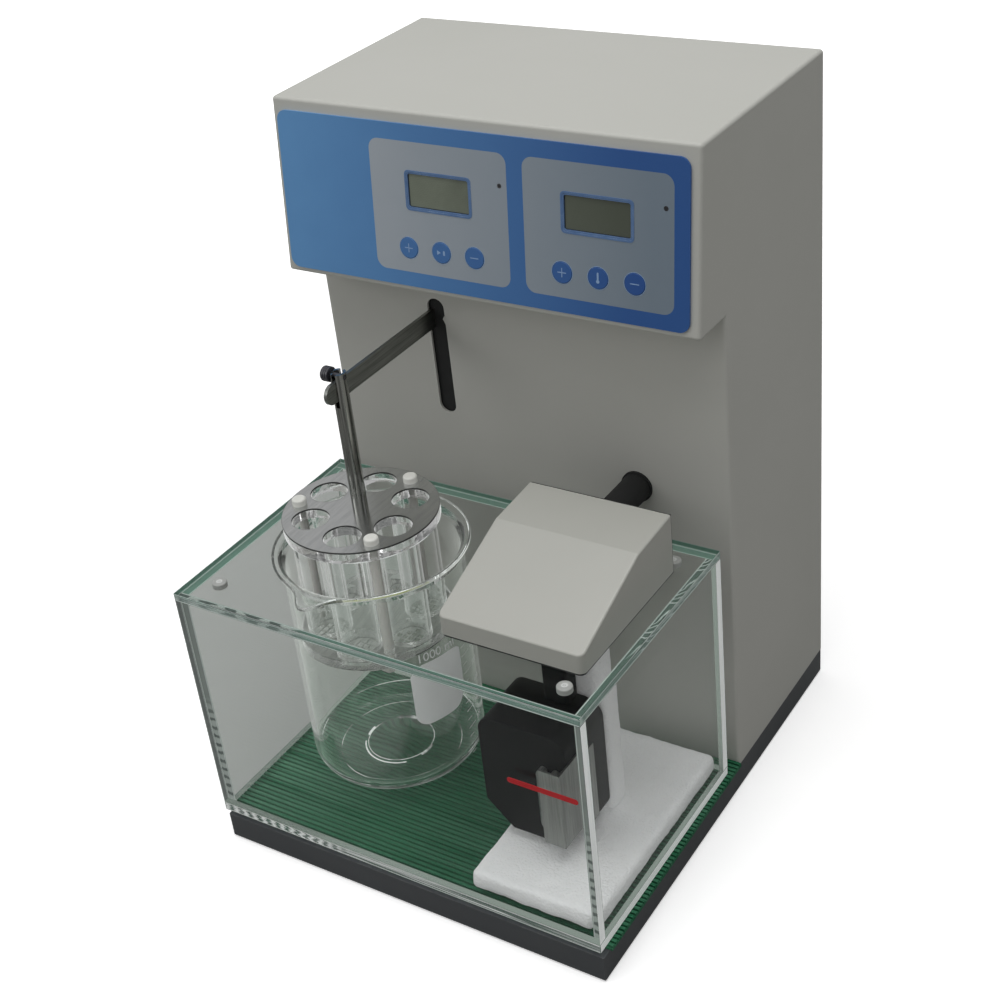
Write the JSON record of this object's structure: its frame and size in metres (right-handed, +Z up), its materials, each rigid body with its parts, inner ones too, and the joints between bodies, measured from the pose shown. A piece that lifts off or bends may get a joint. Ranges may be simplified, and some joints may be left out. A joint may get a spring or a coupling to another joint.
{
  "type": "tablet disintegration tester",
  "caption": "Bench tester with an overhanging control head, a lifting arm with a basket rack of glass tubes, a beaker and a clear heated water bath.",
  "frame": {"origin": "middle of the footprint of the whole object, on the surface it stands on", "axes": "+Z up, -Y to the front, +X to the right seen from the front"},
  "size_m": [0.2652, 0.304, 0.42],
  "materials": {
    "housing_paint": "light warm grey powder coat, satin",
    "black_base": "black powder coat, satin",
    "green_mat": "green ribbed rubber",
    "foot_rubber": "black rubber",
    "panel_blue": "blue printed film",
    "panel_grey": "bluish grey printed film",
    "key_blue": "blue embossed film",
    "display_glass": "olive grey display behind a blue frame",
    "lamp_dark": "dark lamp lens",
    "circuit_board": "green circuit board",
    "black_plastic": "black moulded plastic",
    "zinc_steel": "zinc plated steel",
    "stainless": "polished stainless steel",
    "bright_steel": "mirror polished steel",
    "motor_grey": "grey motor casing",
    "carriage_plastic": "white machined plastic",
    "bush_brass": "sintered brass",
    "white_nylon": "white nylon",
    "clear_sheet": "clear acrylic sheet",
    "clear_glass": "clear laboratory glass",
    "white_foam": "white foam",
    "hood_paint": "warm light grey moulding",
    "stripe_red": "red printed stripe",
    "knurled_black": "blackened steel"
  },
  "bodies": {
    "root": {"base_tray": "black_base", "rubber_feet": "foot_rubber", "ribbed_mat": "green_mat", "housing_shell": "housing_paint", "rear_cover": "housing_paint", "cover_screws": "zinc_steel", "panel_overlay": "panel_blue", "panel_fields": "panel_grey", "display_windows": "display_glass", "indicator_lamps": "lamp_dark", "display_modules": "black_plastic", "control_boards": "circuit_board", "power_inlet": "black_plastic", "switch_frame": "black_plastic", "power_supply": "circuit_board", "guide_rods": "bright_steel", "rod_blocks": "zinc_steel", "drive_frame": "zinc_steel", "gear_motor": "motor_grey", "beaker": "clear_glass", "bath_floor": "clear_sheet", "bath_walls": "clear_sheet", "bath_lid": "clear_sheet", "lid_knobs": "white_nylon", "level_mark": "stripe_red", "foam_pad": "white_foam", "foam_block": "white_foam", "hood_cover": "hood_paint", "hood_tray": "black_plastic", "conduit_tube": "black_plastic", "pump_body": "black_plastic", "pump_stem": "stainless", "heater_guard": "stainless", "heater_element": "stainless", "temperature_probe": "stainless"},
    "lift_carriage": {"carriage": "carriage_plastic", "guide_bushes": "bush_brass", "slot_shield": "black_plastic", "lifting_arm": "stainless"},
    "basket": {"basket_shaft": "bright_steel", "steel_disc": "bright_steel", "clear_discs": "clear_sheet", "glass_tubes": "clear_glass", "wire_screen": "stainless", "nylon_bolts": "white_nylon", "nylon_nuts": "white_nylon"},
    "hanger": {"hanger_screw": "knurled_black"},
    "crank": {"crank_disc": "zinc_steel", "crank_roller": "bush_brass"},
    "rocker": {"switch_rocker": "black_plastic"},
    "drawer": {"fuse_drawer": "black_plastic"},
    "impeller": {"pump_impeller": "white_nylon"},
    "timer_key_plus_cap": {"timer_key_plus": "key_blue"},
    "timer_key_run_cap": {"timer_key_run": "key_blue"},
    "timer_key_minus_cap": {"timer_key_minus": "key_blue"},
    "bath_key_plus_cap": {"bath_key_plus": "key_blue"},
    "bath_key_heat_cap": {"bath_key_heat": "key_blue"},
    "bath_key_minus_cap": {"bath_key_minus": "key_blue"}
  },
  "joints": [
    {"name": "arm_lift", "type": "slide", "parent": "root", "child": "lift_carriage", "axis": [0, 0, 1], "range_m": [-0.051, 0.004]},
    {"name": "crank_turn", "type": "hinge", "parent": "root", "child": "crank", "pos_m": [-0.0565, 0.055, 0.2639], "axis": [0, 1, 0], "range_deg": [-13.6, 167.4]},
    {"name": "basket_lift", "type": "slide", "parent": "lift_carriage", "child": "basket", "axis": [0, 0, 1], "range_m": [0, 0.0038]},
    {"name": "hanger_turn", "type": "hinge", "parent": "basket", "child": "hanger", "pos_m": [-0.0565, -0.0695, 0.2949], "axis": [1, 0, 0], "range_deg": [0, 180]},
    {"name": "rocker_tip", "type": "hinge", "parent": "root", "child": "rocker", "pos_m": [0.04, 0.14415, 0.062], "axis": [1, 0, 0], "range_deg": [0, 14]},
    {"name": "drawer_slide", "type": "slide", "parent": "root", "child": "drawer", "axis": [0, 1, 0], "range_m": [0, 0.016]},
    {"name": "impeller_spin", "type": "hinge", "parent": "root", "child": "impeller", "pos_m": [0.062, -0.0915, 0.07], "axis": [0, 0, 1], "continuous": true},
    {"name": "timer_key_plus_press", "type": "slide", "parent": "root", "child": "timer_key_plus_cap", "axis": [0, 0.9948, -0.1015], "range_m": [0, 0.0005], "stiffness_N_per_m": 1000},
    {"name": "timer_key_run_press", "type": "slide", "parent": "root", "child": "timer_key_run_cap", "axis": [0, 0.9948, -0.1015], "range_m": [0, 0.0005], "stiffness_N_per_m": 1000},
    {"name": "timer_key_minus_press", "type": "slide", "parent": "root", "child": "timer_key_minus_cap", "axis": [0, 0.9948, -0.1015], "range_m": [0, 0.0005], "stiffness_N_per_m": 1000},
    {"name": "bath_key_plus_press", "type": "slide", "parent": "root", "child": "bath_key_plus_cap", "axis": [0, 0.9948, -0.1015], "range_m": [0, 0.0005], "stiffness_N_per_m": 1000},
    {"name": "bath_key_heat_press", "type": "slide", "parent": "root", "child": "bath_key_heat_cap", "axis": [0, 0.9948, -0.1015], "range_m": [0, 0.0005], "stiffness_N_per_m": 1000},
    {"name": "bath_key_minus_press", "type": "slide", "parent": "root", "child": "bath_key_minus_cap", "axis": [0, 0.9948, -0.1015], "range_m": [0, 0.0005], "stiffness_N_per_m": 1000}
  ],
  "couplings": [
    {"joint": "crank_turn", "follows": "arm_lift", "rad_per_m": -57.12}
  ]
}
